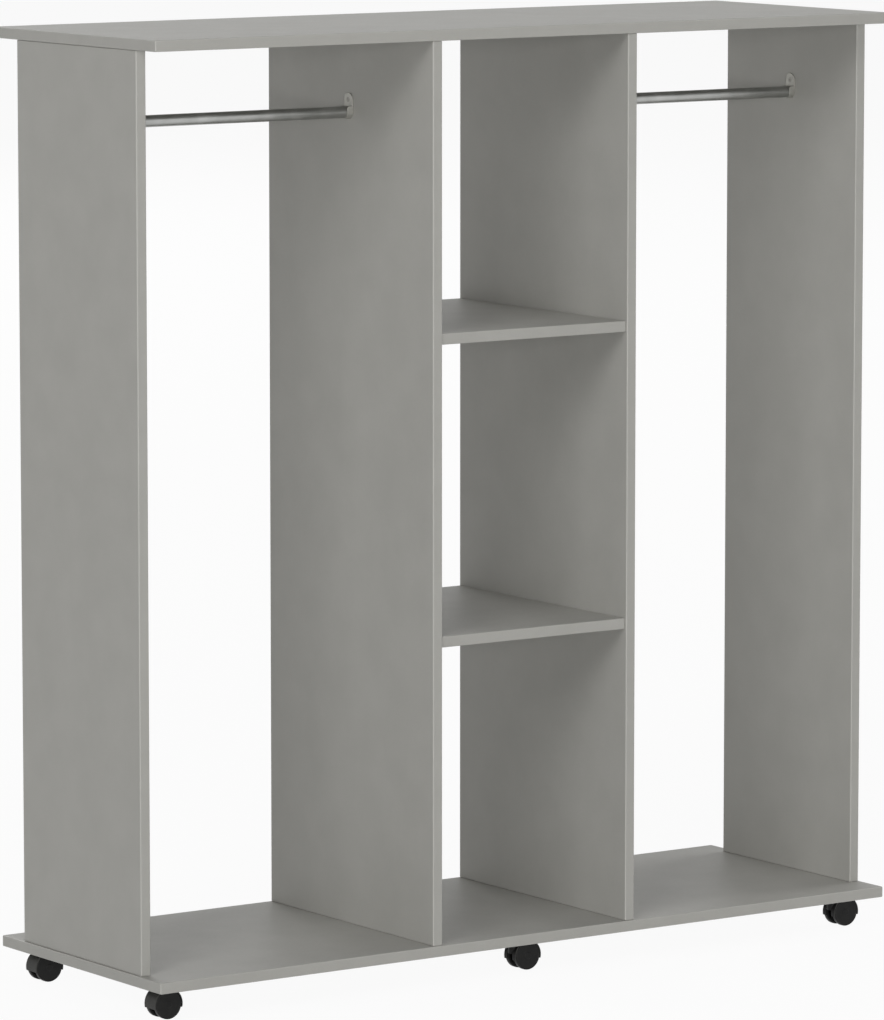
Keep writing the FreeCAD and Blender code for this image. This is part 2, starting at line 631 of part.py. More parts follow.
def caster_hood(label, place, turn):
    """A fender over both wheels, with a web between them that holds the axle and the stem."""
    body = new_body(label, place, turn)
    axle = ("Dim.caster_trail", AXLE_Z)
    fender = sketch_on(body, "XZ_Plane", f"{label}_fender")
    cut_disc(fender, *axle, HOOD_RADIUS, f"{AXLE_Z} - Dim.hood_skirt", above=True)
    pad(body, fender, CASTER_WIDTH, symmetric=True)
    boss = sketch_on(body, "XY_Plane", f"{label}_boss", BOSS_BOTTOM)
    dots(boss, [("0", "0")], "Dim.boss_diameter")
    pad(body, boss, f"{BOSS_TOP} - {BOSS_BOTTOM}")
    for side, word in ((1, "front"), (-1, "rear")):
        well = sketch_on(body, "XZ_Plane", f"{label}_{word}_well", f"{side} * Dim.hood_web / 2")
        dots(well, [axle], f"2 * {WELL_RADIUS}")
        pocket(body, well, CASTER_WIDTH, reverse=side > 0)
    hollow = sketch_on(body, "XZ_Plane", f"{label}_hollow")
    cut_disc(hollow, *axle, WELL_RADIUS, BOSS_BOTTOM, above=False)
    pocket(body, hollow, "Dim.hood_web", symmetric=True)
    mouth = sketch_on(body, "XZ_Plane", f"{label}_mouth")
    mouth_depth = f"({HOOD_RADIUS} - Dim.hood_hub_diameter / 2)"
    rectangle(mouth, mouth_depth, f"2 * {BOSS_BOTTOM}",
              (f"Dim.caster_trail - {HOOD_RADIUS} + {mouth_depth} / 2", "0"))
    pocket(body, mouth, "Dim.hood_web", symmetric=True)
    hub = sketch_on(body, "XZ_Plane", f"{label}_hub")
    dots(hub, [axle], "Dim.hood_hub_diameter")
    pad(body, hub, "Dim.hood_web", symmetric=True)
    pivot = sketch_on(body, "XY_Plane", f"{label}_pivot", BOSS_TOP)
    dots(pivot, [("0", "0")], PIVOT_HOLE)
    pocket(body, pivot, "Dim.stem_pivot_length")
    bore = sketch_on(body, "XZ_Plane", f"{label}_bore")
    dots(bore, [axle], fitted("Dim.axle_diameter"))
    pocket(body, bore, CASTER_WIDTH, symmetric=True)


def caster_axle(label, place):
    body = new_body(label, place)
    pin = sketch_on(body, "XZ_Plane", f"{label}_pin")
    dots(pin, [("0", "0")], "Dim.axle_diameter")
    pad(body, pin, f"{CASTER_WIDTH} - 2 * (Dim.wheel_cap + Dim.axle_end_gap)", symmetric=True)


def caster_wheel(label, place, turn):
    """A cup-shaped wheel: rim, closed outer disc, and a hub with a blind bore for the axle."""
    body = new_body(label, place, turn)
    tread = AXLE_Z
    bore = "(Dim.axle_diameter / 2 + Dim.running_fit)"
    hub = "(Dim.wheel_hub_diameter / 2)"
    rim = f"({tread} - Dim.wheel_rim)"
    disc = "(Dim.wheel_width - Dim.wheel_disc)"
    cap = "(Dim.wheel_width - Dim.wheel_cap)"
    section = sketch_on(body, "XY_Plane", f"{label}_section")
    outline(section, [("0", cap), (bore, cap), (bore, "0"), (hub, "0"), (hub, disc), (rim, disc),
                      (rim, "0"), (tread, "0"), (tread, "Dim.wheel_width"), ("0", "Dim.wheel_width")])
    turned = body.newObject("PartDesign::Revolution", f"{label}_turned")
    turned.Profile = section
    turned.ReferenceAxis = (section, ["V_Axis"])
    turned.Angle = 360
    radius = value_of(tread)
    ease_edges(body, turned, "Dim.wheel_edge_radius",
               lambda edge: hasattr(edge.Curve, "Radius") and abs(edge.Curve.Radius - radius) < ROUNDING)


# The wheels of the left casters trail outwards to the left, all others to the right
caster_names = [f"{row}_{column}" for row in ("front", "rear") for column in ("left", "middle", "right")]
for name, (x, y) in zip(caster_names, CASTER_PLACES):
    trails_left = name.endswith("left")
    axle_x = f"{x} {'-' if trails_left else '+'} Dim.caster_trail"
    caster_stem(f"{name}_caster_stem", (x, y, "0"))
    caster_hood(f"{name}_caster_hood", (x, y, "0"), 180 if trails_left else 0)
    caster_axle(f"{name}_caster_axle", (axle_x, y, AXLE_Z))
    caster_wheel(f"{name}_caster_front_wheel", (axle_x, f"{y} - {WHEEL_Y}", AXLE_Z), 180)
    caster_wheel(f"{name}_caster_rear_wheel", (axle_x, f"{y} + {WHEEL_Y}", AXLE_Z), 0)


# Test every piece, then write it

doc.recompute()
failed = [item.Name for item in doc.Objects if {"Invalid", "Error"} & set(item.State)]
failed += [body.Label for body in nodes if body.Shape.isNull() or not body.Shape.isValid()]
if failed:
    raise RuntimeError(f"failed: {failed}")
os.makedirs("parts", exist_ok=True)
for body in nodes:
    body.Shape.exportStep(f"parts/{body.Label}.step")
print(f"{len(nodes)} pieces, {sum(len(body.Shape.Solids) for body in nodes)} solids")
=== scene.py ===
import bpy
import bmesh
import math
from mathutils import Matrix, Vector


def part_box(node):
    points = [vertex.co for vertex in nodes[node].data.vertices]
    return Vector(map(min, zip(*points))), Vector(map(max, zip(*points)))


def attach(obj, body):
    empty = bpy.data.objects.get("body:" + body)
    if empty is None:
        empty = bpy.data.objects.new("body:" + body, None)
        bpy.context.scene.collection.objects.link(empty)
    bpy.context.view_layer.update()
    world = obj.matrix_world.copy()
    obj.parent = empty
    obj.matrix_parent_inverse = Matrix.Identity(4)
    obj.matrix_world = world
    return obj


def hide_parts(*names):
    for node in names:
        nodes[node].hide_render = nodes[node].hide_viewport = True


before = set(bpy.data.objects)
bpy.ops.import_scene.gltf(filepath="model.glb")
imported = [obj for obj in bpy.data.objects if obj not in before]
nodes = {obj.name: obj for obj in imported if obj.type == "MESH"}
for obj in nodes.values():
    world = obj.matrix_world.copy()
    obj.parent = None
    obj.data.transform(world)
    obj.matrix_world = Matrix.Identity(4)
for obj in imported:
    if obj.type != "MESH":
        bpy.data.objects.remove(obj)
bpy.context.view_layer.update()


# Boards
# Particleboard, 15 mm thick, pressed between sheets of grey melamine paper and sawn to size.
# A strip of plastic is glued on every sawn edge and its corners are rounded over.

BOARD_THIN_AXIS = {
    "top_panel": 2, "base_panel": 2, "upper_shelf": 2, "lower_shelf": 2,
    "left_side_panel": 0, "right_side_panel": 0, "left_divider": 0, "right_divider": 0,
}


def linear(hex_colour):
    """A colour written as sRGB hex, in the linear light that shaders work with."""
    channels = [int(hex_colour[i:i + 2], 16) / 255 for i in (1, 3, 5)]
    return [c / 12.92 if c <= 0.04045 else ((c + 0.055) / 1.055) ** 2.4 for c in channels] + [1]


def put(tree, kind, inputs=(), **settings):
    """Adds a node. Each input is set to a value, or linked where it is given another node's output."""
    node = tree.nodes.new(kind)
    for name, value in settings.items():
        setattr(node, name, value)
    for key, value in dict(inputs).items():
        if isinstance(value, bpy.types.NodeSocket):
            tree.links.new(value, node.inputs[key])
        else:
            node.inputs[key].default_value = value
    return node


# How far the grain shows in the clouds' shades, what part of each noise is spread over its whole
# effect, and how strong the relief is
GRAIN_SHARE = 0.35
CLOUD_RANGE = (0.35, 0.65)
GRAIN_RANGE = (0.3, 0.7)
RELIEF_STRENGTH = 0.6


def grained(name, dark, light, cloud_mm, grain_mm, rough, relief_mm, stretch=(1, 1, 1), constants=()):
    """A surface that drifts in clouds between two near shades, with a fine grain in its gloss and relief."""
    material = bpy.data.materials.new(name)
    material.use_nodes = True
    tree = material.node_tree
    shader = tree.nodes["Principled BSDF"]
    for socket, value in dict(constants).items():
        shader.inputs[socket].default_value = value
    place = put(tree, "ShaderNodeTexCoord").outputs["Object"]
    drawn = put(tree, "ShaderNodeMapping", {"Vector": place, "Scale": stretch}).outputs["Vector"]
    clouds = put(tree, "ShaderNodeTexNoise", {"Vector": place, "Scale": 1000 / cloud_mm, "Detail": 3})
    grain = put(tree, "ShaderNodeTexNoise", {"Vector": drawn, "Scale": 1000 / grain_mm, "Detail": 2})
    both = put(tree, "ShaderNodeMix", {0: GRAIN_SHARE, 2: clouds.outputs["Fac"], 3: grain.outputs["Fac"]})
    spread = put(tree, "ShaderNodeMapRange", {
        "Value": both.outputs[0], "From Min": CLOUD_RANGE[0], "From Max": CLOUD_RANGE[1]})
    colour = put(tree, "ShaderNodeMix", {0: spread.outputs[0], 6: linear(dark), 7: linear(light)},
                 data_type="RGBA")
    gloss = put(tree, "ShaderNodeMapRange", {
        "Value": grain.outputs["Fac"], "From Min": GRAIN_RANGE[0], "From Max": GRAIN_RANGE[1],
        "To Min": rough[0], "To Max": rough[1]})
    relief = put(tree, "ShaderNodeBump", {
        "Height": grain.outputs["Fac"], "Strength": RELIEF_STRENGTH, "Distance": relief_mm / 1000})
    tree.links.new(colour.outputs[2], shader.inputs["Base Color"])
    tree.links.new(gloss.outputs[0], shader.inputs["Roughness"])
    tree.links.new(relief.outputs["Normal"], shader.inputs["Normal"])
    return material


def shaded(material, attribute, shade, share):
    """Mixes in another shade where a piece's own attribute is 1."""
    tree = material.node_tree
    base = tree.nodes["Principled BSDF"].inputs["Base Color"]
    fresh = base.links[0].from_socket
    where = put(tree, "ShaderNodeAttribute", attribute_name=attribute).outputs["Fac"]
    amount = put(tree, "ShaderNodeMath", {0: where, 1: share}, operation="MULTIPLY")
    mixed = put(tree, "ShaderNodeMix", {0: amount.outputs[0], 6: fresh, 7: linear(shade)}, data_type="RGBA")
    tree.links.new(mixed.outputs[2], base)


# Matt melamine, pressed against a fine steel plate: an even grey with faint clouds in the printed
# paper and a slight orange peel. The peel is drawn at 3 mm, coarser than real, so that it shows.
melamine = grained("grey_melamine", "#A1A09B", "#A7A6A1", cloud_mm=60, grain_mm=3, rough=(0.46, 0.58),
                   relief_mm=0.02, constants={"IOR": 1.5, "Specular IOR Level": 0.45})

# Extruded ABS strip in the same grey: smoother than the faces, with a painted highlight, a paler shade, where
# it is rounded over.
edge_band = grained("grey_edge_band", "#A2A19C", "#A6A5A0", cloud_mm=40, grain_mm=2, rough=(0.4, 0.5),
                    relief_mm=0.015, constants={"IOR": 1.54, "Specular IOR Level": 0.35})
# Painted highlight: the strip's rounded-over faces are painted a paler grey
shaded(edge_band, "rounded_over", "#ACABA6", share=0.7)

# A face counts as flat where its normal lies this close to an axis; the rest is rounded over
FLAT = 0.99
for name, thin in BOARD_THIN_AXIS.items():
    mesh = nodes[name].data
    mesh.materials.clear()
    mesh.materials.append(melamine)
    mesh.materials.append(edge_band)
    # Marks the rounded-over faces, which carry the painted highlight
    rounding = mesh.attributes.new("rounded_over", "FLOAT", "FACE")
    for face in mesh.polygons:
        face.material_index = 0 if abs(face.normal[thin]) > FLAT else 1
        rounding.data[face.index].value = float(max(map(abs, face.normal)) < FLAT)


# Hidden fixings
# Beech dowels, screws under the top's covers, cam bolts in the dividers and threaded sleeves
# for the casters. They sit in drilled holes and show only when the wardrobe is taken apart.

# Turned beech: pale pinkish brown with short dark flecks along the grain.
beech = grained("turned_beech", "#B98F63", "#D6B184", cloud_mm=9, grain_mm=0.8, rough=(0.5, 0.7),
                relief_mm=0.05, stretch=(1, 1, 0.15))
# Zinc plate on steel wire: bright, with a slight uneven haze.
zinc_plate = grained("bright_zinc_plate", "#B4B7BA", "#D2D3D2", cloud_mm=5, grain_mm=0.4, rough=(0.24, 0.38),
                     relief_mm=0.01, constants={"Metallic": 1})
# Die-cast zinc, left bare: duller and greyer, with a fine grain from the mould.
cast_zinc = grained("bare_cast_zinc", "#8F9294", "#A9ABAC", cloud_mm=6, grain_mm=0.5, rough=(0.4, 0.55),
                    relief_mm=0.03, constants={"Metallic": 1})


def dress(name, material):
    """Gives a carried-over piece its material."""
    nodes[name].data.materials.clear()
    nodes[name].data.materials.append(material)


for name in ("top_dowels", "base_dowels", "shelf_dowels"):
    dress(name, beech)
for name in ("top_screws", "shelf_cam_bolts"):
    dress(name, zinc_plate)
for name in ("shelf_cam_locks", "caster_inserts"):
    dress(name, cast_zinc)


# Screws in the base
# Steel connecting screws with a countersunk head and a six-lobed recess. They go up through the base
# into the uprights, and their heads lie flush with its underside.

def size_inputs(tree, names):
    """Named inputs of a node tree, with the points that it works on first, as their sockets inside it."""
    tree.interface.new_socket("Points", in_out="INPUT", socket_type="NodeSocketGeometry")
    for name in names:
        tree.interface.new_socket(name, in_out="INPUT", socket_type="NodeSocketFloat")
    tree.interface.new_socket("Pieces", in_out="OUTPUT", socket_type="NodeSocketGeometry")
    return tree.nodes.new("NodeGroupInput").outputs


def set_out(tree, points, piece, material):
    """Ends a node tree: one piece on each point, turned to face along the point's own direction."""
    facing = put(tree, "GeometryNodeInputNamedAttribute", {"Name": "facing"}, data_type="FLOAT_VECTOR")
    turn = put(tree, "FunctionNodeAlignRotationToVector", {"Vector": facing.outputs[0]}, axis="Z")
    many = put(tree, "GeometryNodeInstanceOnPoints", {"Points": points, "Instance": piece,
                                                      "Rotation": turn.outputs[0]})
    real = put(tree, "GeometryNodeRealizeInstances", {0: many.outputs[0]})
    dressed = put(tree, "GeometryNodeSetMaterial", {"Geometry": real.outputs[0], "Material": material})
    put(tree, "NodeGroupOutput", {"Pieces": dressed.outputs[0]})


# Sides of a round shape, steps in one turn of a thread and sides of the thread's ridge
ROUND_STEPS = 48
SPIRAL_STEPS = 18
RIDGE_SIDES = 3


def screw_tree(name, material):
    """A countersunk screw with a star recess, its face on the point and its thread behind it."""
    tree = bpy.data.node_groups.new(name, "GeometryNodeTree")
    size = size_inputs(tree, ("Head radius", "Head height", "Shank radius", "Shank length", "Core radius",
                              "Ridge", "Thread length", "Turns", "Recess lobes", "Recess radius",
                              "Recess waist", "Recess depth"))

    def behind(*sockets):
        """The height of a place that lies as far behind the screw's face as some sizes together."""
        value = 0.0
        for socket in sockets:
            value = put(tree, "ShaderNodeMath", {0: value, 1: socket}, operation="ADD").outputs[0]
        return put(tree, "ShaderNodeMath", {0: value, 1: -1}, operation="MULTIPLY").outputs[0]

    def moved(geometry, height):
        shift = put(tree, "ShaderNodeCombineXYZ", {"Z": height}).outputs[0]
        return put(tree, "GeometryNodeTransform", {"Geometry": geometry, "Translation": shift}).outputs[0]

    def rod(radius_top, radius_bottom, length, bottom):
        cone = put(tree, "GeometryNodeMeshCone", {"Vertices": ROUND_STEPS, "Radius Top": radius_top,
                                                  "Radius Bottom": radius_bottom, "Depth": length})
        return moved(cone.outputs["Mesh"], bottom)

    head = rod(size["Head radius"], size["Shank radius"], size["Head height"],
               behind(size["Head height"]))
    shank = rod(size["Shank radius"], size["Shank radius"], size["Shank length"],
                behind(size["Head height"], size["Shank length"]))
    tip = behind(size["Head height"], size["Shank length"], size["Thread length"])
    core = rod(size["Core radius"], size["Core radius"], size["Thread length"], tip)
    spiral = put(tree, "GeometryNodeCurveSpiral", {
        "Resolution": SPIRAL_STEPS, "Rotations": size["Turns"], "Start Radius": size["Core radius"],
        "End Radius": size["Core radius"], "Height": size["Thread length"]})
    ridge = put(tree, "GeometryNodeCurvePrimitiveCircle", {
        "Resolution": RIDGE_SIDES, "Radius": size["Ridge"]})
    thread = put(tree, "GeometryNodeCurveToMesh", {
        "Curve": spiral.outputs[0], "Profile Curve": ridge.outputs[0], "Fill Caps": True})
    star = put(tree, "GeometryNodeCurveStar", {
        "Points": size["Recess lobes"], "Inner Radius": size["Recess waist"],
        "Outer Radius": size["Recess radius"]})
    floor = put(tree, "ShaderNodeCombineXYZ", {"Z": behind(size["Recess depth"])})
    mouth = put(tree, "ShaderNodeCombineXYZ", {"Z": size["Recess depth"]})
    axis = put(tree, "GeometryNodeCurvePrimitiveLine", {"Start": floor.outputs[0], "End": mouth.outputs[0]})
    cutter = put(tree, "GeometryNodeCurveToMesh", {
        "Curve": axis.outputs[0], "Profile Curve": star.outputs[0], "Fill Caps": True})
    cut = put(tree, "GeometryNodeMeshBoolean", {0: head, 1: cutter.outputs[0]}, operation="DIFFERENCE")
    whole = put(tree, "GeometryNodeJoinGeometry")
    for part in (cut.outputs[0], shank, core, moved(thread.outputs[0], tip)):
        tree.links.new(part, whole.inputs[0])
    set_out(tree, size["Points"], whole.outputs[0], material)
    return tree


# Faces that meet at more than this have a sharp edge between them
SHARP = math.radians(35)


def as_piece(name, mesh):
    """A finished mesh as an object: smooth over its curves, sharp at its corners."""
    mesh.shade_smooth()
    mesh.set_sharp_from_angle(angle=SHARP)
    piece = bpy.data.objects.new(name, mesh)
    bpy.context.scene.collection.objects.link(piece)
    return piece


def grown(name, tree, points, facings, sizes):
    """Runs a node tree on some points and keeps what it makes as a plain mesh."""
    seeds = bpy.data.meshes.new(f"{name}_points")
    seeds.from_pydata(points, [], [])
    facing = seeds.attributes.new("facing", "FLOAT_VECTOR", "POINT")
    for index, direction in enumerate(facings):
        facing.data[index].vector = direction
    maker = bpy.data.objects.new(f"{name}_maker", seeds)
    bpy.context.scene.collection.objects.link(maker)
    build = maker.modifiers.new("build", "NODES")
    build.node_group = tree
    for item in tree.interface.items_tree:
        if item.name in sizes:
            build[item.identifier] = sizes[item.name]
    bpy.context.view_layer.update()
    made = bpy.data.meshes.new_from_object(maker.evaluated_get(bpy.context.evaluated_depsgraph_get()))
    bpy.data.objects.remove(maker)
    return as_piece(name, made)


def stand_for(piece, body, slot, *names):
    """A detailed piece rides on a body in place of one or more carried-over pieces."""
    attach(piece, body)
    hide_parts(*names)


UP = Vector((0, 0, 1))
DOWN = -UP
# Across the wardrobe and out from its middle: two screws in the end of each upright
SCREW_ROWS = ((-0.5895, 0.110), (-0.1595, 0.160), (0.1595, 0.160), (0.5895, 0.110))
SCREW_PLACES = [(x, side * y) for x, y in SCREW_ROWS for side in (-1, 1)]
base_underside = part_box("base_panel")[0].z
base_screws = grown(
    "base_screw_set", screw_tree("connecting_screw", zinc_plate),
    [(x, y, base_underside) for x, y in SCREW_PLACES], [DOWN] * len(SCREW_PLACES),
    {"Head radius": 0.005, "Head height": 0.002, "Shank radius": 0.0035, "Shank length": 0.013,
     "Core radius": 0.0026, "Ridge": 0.0006, "Thread length": 0.035, "Turns": 11,
     "Recess lobes": 6, "Recess radius": 0.0023, "Recess waist": 0.0017, "Recess depth": 0.0017})
stand_for(base_screws, "carcass", "zinc_plated_steel", "base_screws")


# Screw covers on the top
# Thin round covers of grey film, pressed into shallow seats over the screws. A bevelled rim leaves a
# hairline ring in the top's face.

# Points of a cover's parts that are closer than this become one, in metres
COVER_MERGE = 1e-6


def cover_tree(name, material):
    """A round cover with a bevelled rim, its face on the point."""
    tree = bpy.data.node_groups.new(name, "GeometryNodeTree")
    size = size_inputs(tree, ("Radius", "Thickness", "Rim"))
    edge = put(tree, "ShaderNodeMath", {0: size["Rim"], 1: -1.0}, operation="MULTIPLY").outputs[0]
    back = put(tree, "ShaderNodeMath", {0: size["Thickness"], 1: -1.0}, operation="MULTIPLY").outputs[0]
    crown = put(tree, "ShaderNodeMath", {0: size["Radius"], 1: size["Rim"]}, operation="SUBTRACT").outputs[0]
    depth = put(tree, "ShaderNodeMath", {0: size["Thickness"], 1: size["Rim"]},
                operation="SUBTRACT").outputs[0]
    wall = put(tree, "GeometryNodeMeshCone", {
        "Vertices": ROUND_STEPS, "Radius Top": size["Radius"], "Radius Bottom": size["Radius"],
        "Depth": depth}, fill_type="NONE")
    rim = put(tree, "GeometryNodeMeshCone", {
        "Vertices": ROUND_STEPS, "Radius Top": crown, "Radius Bottom": size["Radius"],
        "Depth": size["Rim"]}, fill_type="NONE")
    face = put(tree, "GeometryNodeMeshCircle", {"Vertices": ROUND_STEPS, "Radius": crown}, fill_type="NGON")
    seat = put(tree, "GeometryNodeMeshCircle", {"Vertices": ROUND_STEPS, "Radius": size["Radius"]},
               fill_type="NGON")
    turned_over = put(tree, "GeometryNodeFlipFaces", {"Mesh": seat.outputs["Mesh"]})
    whole = put(tree, "GeometryNodeJoinGeometry")
    for part, height in ((wall, back), (rim, edge), (face, 0.0), (turned_over, back)):
        shift = put(tree, "ShaderNodeCombineXYZ", {"Z": height})
        placed = put(tree, "GeometryNodeTransform", {"Geometry": part.outputs["Mesh"],
                                                     "Translation": shift.outputs[0]})
        tree.links.new(placed.outputs[0], whole.inputs[0])
    closed = put(tree, "GeometryNodeMergeByDistance", {"Geometry": whole.outputs[0], "Distance": COVER_MERGE})
    set_out(tree, size["Points"], closed.outputs[0], material)
    return tree


# Printed grey film: the boards' grey with a little more gloss.
cover_film = grained("grey_cover_film", "#A2A19C", "#A8A7A2", cloud_mm=8, grain_mm=1, rough=(0.38, 0.46),
                     relief_mm=0.01, constants={"IOR": 1.5, "Specular IOR Level": 0.35})
top_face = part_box("top_panel")[1].z
covers = grown(
    "top_cover_set", cover_tree("screw_cover", cover_film),
    [(x, y, top_face) for x, y in SCREW_PLACES], [UP] * len(SCREW_PLACES),
    {"Radius": 0.005, "Thickness": 0.0012, "Rim": 0.0003})
stand_for(covers, "carcass", "grey_cover", "top_screw_covers")


# Rail sockets
# Die-cast zinc cradles with a satin nickel finish, open at the top, with a tab above for one
# countersunk screw. The mould leaves every edge slightly round.

# Points closer than this become one, in metres, and faces within this angle one face, in radians
MERGE = 2e-6
COPLANAR = 0.005
EDGE_SEGMENTS = 3


def softened(name, source, width_mm, material):
    """A copy of a carried-over shape with its sharp edges rounded as a mould rounds them."""
    shape = bmesh.new()
    shape.from_mesh(nodes[source].data)
    bmesh.ops.remove_doubles(shape, verts=shape.verts, dist=MERGE)
    bmesh.ops.dissolve_limit(shape, angle_limit=COPLANAR, verts=shape.verts, edges=shape.edges)
    mesh = bpy.data.meshes.new(name)
    shape.to_mesh(mesh)
    shape.free()
    mesh.materials.append(material)
    piece = as_piece(name, mesh)
    rounding = piece.modifiers.new("rounding", "BEVEL")
    rounding.width = width_mm / 1000
    rounding.segments = EDGE_SEGMENTS
    rounding.limit_method = "ANGLE"
    rounding.angle_limit = SHARP
    rounding.harden_normals = True
    bpy.context.view_layer.update()
    finished = bpy.data.meshes.new_from_object(piece.evaluated_get(bpy.context.evaluated_depsgraph_get()))
    piece.modifiers.clear()
    piece.data = finished
    return piece


# Satin nickel on a casting: warm pale grey with a soft sheen and a barely visible grain.
nickel = grained("satin_nickel_casting", "#A8A7A1", "#B8B7B1", cloud_mm=7, grain_mm=0.6, rough=(0.58, 0.7),
                 relief_mm=0.02, constants={"Metallic": 1})
SOCKET_EDGE_MM = 0.35
for bay in ("left", "right"):
    for end in ("outer", "inner"):
        source = f"{bay}_rail_{end}_socket"
        stand_for(softened(f"{source}_cast", source, SOCKET_EDGE_MM, nickel),
                  "carcass", "nickel_casting", source)

# The screws in the tabs: cross recess, countersunk, flush with the tab. Their zinc plate is dulled by
# a dark passivation to a matt grey, a shade darker than the tab.
dull_zinc = grained("dulled_zinc_plate", "#8D8C87", "#9F9E98", cloud_mm=3, grain_mm=0.4, rough=(0.5, 0.62),
                    relief_mm=0.01, constants={"Metallic": 1})
# The tab's thickness, from the board to its face
TAB_FACE = 0.002
# Where each socket is screwed on, from left to right, and the way that it faces
SOCKET_FACES = ((-0.582, 1), (-0.167, -1), (0.167, 1), (0.582, -1))
TAB_SCREW_HEIGHT = 1.1825
tab_screws = grown(
    "tab_screw_set", screw_tree("tab_screw", dull_zinc),
    [(x + way * TAB_FACE, 0, TAB_SCREW_HEIGHT) for x, way in SOCKET_FACES],
    [(way, 0, 0) for x, way in SOCKET_FACES],
    {"Head radius": 0.00375, "Head height": 0.002, "Shank radius": 0.002, "Shank length": 0.001,
     "Core radius": 0.0014, "Ridge": 0.0006, "Thread length": 0.010, "Turns": 6,
     "Recess lobes": 4, "Recess radius": 0.0018, "Recess waist": 0.0005, "Recess depth": 0.0009})
stand_for(tab_screws, "carcass", "zinc_plated_steel", "socket_screws")


# Hanging rails
# Drawn steel tube, 16 mm across, satin chromed and cut to length with its ends deburred. Each rail
# lies loose in two sockets.

def rounded(corners, steps=5):
    """A profile of radius and length with each corner rounded by its own third number."""
    profile = []
    for before, (radius, length, soft), after in zip(corners[-1:] + corners[:-1], corners,
                                                     corners[1:] + corners[:1]):
        corner = Vector((radius, length))
        if not soft:
            profile.append(corner)
            continue
        start = corner + (Vector(before[:2]) - corner).normalized() * soft
        end = corner + (Vector(after[:2]) - corner).normalized() * soft
        for step in range(steps + 1):
            k = step / steps
            profile.append(start * (1 - k) ** 2 + corner * 2 * k * (1 - k) + end * k ** 2)
    return profile


TURNED_STEPS = 96


def turned(profile, centre, along):
    """A closed profile turned about an axis, in metres, as a mesh with its faces outwards."""
    shape = bmesh.new()
    side = along.orthogonal().normalized()
    points = [shape.verts.new(centre + side * radius + along * length) for radius, length in profile]
    edges = [shape.edges.new(pair) for pair in zip(points, points[1:] + points[:1])]
    bmesh.ops.spin(shape, geom=points + edges, cent=centre, axis=along, angle=math.tau, steps=TURNED_STEPS)
    bmesh.ops.remove_doubles(shape, verts=shape.verts, dist=MERGE)
    bmesh.ops.dissolve_degenerate(shape, edges=shape.edges, dist=MERGE)
    bmesh.ops.delete(shape, geom=[edge for edge in shape.edges if edge.is_wire], context="EDGES")
    bmesh.ops.recalc_face_normals(shape, faces=shape.faces)
    return shape


# Satin chrome on drawn tube: soft reflections with fine lines along its length, drawn coarser to show.
chrome = grained("satin_chrome_tube", "#A6A7A5", "#BFC0BE", cloud_mm=30, grain_mm=1.2, rough=(0.3, 0.44),
                 relief_mm=0.004, stretch=(0.02, 1, 1), constants={"Metallic": 1})
# Radius of the tube's outer and inner face, and how far their edges are rounded at the ends
RAIL_OUTSIDE = 0.008
RAIL_INSIDE = 0.007
OUTER_EDGE = 0.0004
INNER_EDGE = 0.0002
for name in ("left_rail", "right_rail"):
    low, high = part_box(name)
    length = high.x - low.x
    wall = rounded([(RAIL_INSIDE, 0, INNER_EDGE), (RAIL_OUTSIDE, 0, OUTER_EDGE),
                    (RAIL_OUTSIDE, length, OUTER_EDGE), (RAIL_INSIDE, length, INNER_EDGE)])
    mesh = bpy.data.meshes.new(f"{name}_tube")
    shape = turned(wall, Vector((low.x, 0, (low.z + high.z) / 2)), Vector((1, 0, 0)))
    shape.to_mesh(mesh)
    shape.free()
    mesh.materials.append(chrome)
    stand_for(as_piece(f"{name}_tube", mesh), f"{name}_loose", "chrome_tube", name)


# Caster stems
# Turned steel pins with a hexagon flange that is drawn up against the base by its thread. The hood
# turns on the plain lower end.

STEM_EDGE_MM = 0.4
PLACES = [f"{row}_{column}" for row in ("front", "rear") for column in ("left", "middle", "right")]
for place in PLACES:
    source = f"{place}_caster_stem"
    stand_for(softened(f"{source}_turned", source, STEM_EDGE_MM, zinc_plate), "carcass", "stem_steel", source)


# Caster hoods
# One moulding of black polypropylene over both wheels, with a boss for the stem and a web between the
# wheels that holds the axle.

# Black polypropylene: satin dark grey with a fine grain over the wheels, and a painted shade, a deep
# plain black, on the side round the stem.
hood_black = grained("black_polypropylene", "#333331", "#3B3B39", cloud_mm=14, grain_mm=0.7, rough=(0.42, 0.56),
                     relief_mm=0.02, constants={"IOR": 1.49, "Specular IOR Level": 0.2})
# Painted shade: the side of the hood towards the stem is painted a deep plain black
shaded(hood_black, "stem_side_shade", "#060606", share=0.9)
HOOD_EDGE_MM = 0.45
# Distance from the axle towards the stem at which the painted shade starts
SHADE_FROM = 0.003
for place in PLACES:
    source = f"{place}_caster_hood"
    hood = softened(f"{source}_moulded", source, HOOD_EDGE_MM, hood_black)
    axle, stem = (sum(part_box(f"{place}_caster_{piece}"), Vector()) / 2 for piece in ("axle", "stem"))
    to_stem = math.copysign(1, stem.x - axle.x)
    # Marks the faces towards the stem, which carry the painted shade
    shade_mask = hood.data.attributes.new("stem_side_shade", "FLOAT", "FACE")
    for face in hood.data.polygons:
        shade_mask.data[face.index].value = float((face.center.x - axle.x) * to_stem > SHADE_FROM)
    stand_for(hood, f"{place}_caster", "black_hood", source)


# Caster wheels and axles
# Two moulded black nylon wheels on each caster, hollow and ribbed on the inside, which turn by
# themselves on one bright steel pin.

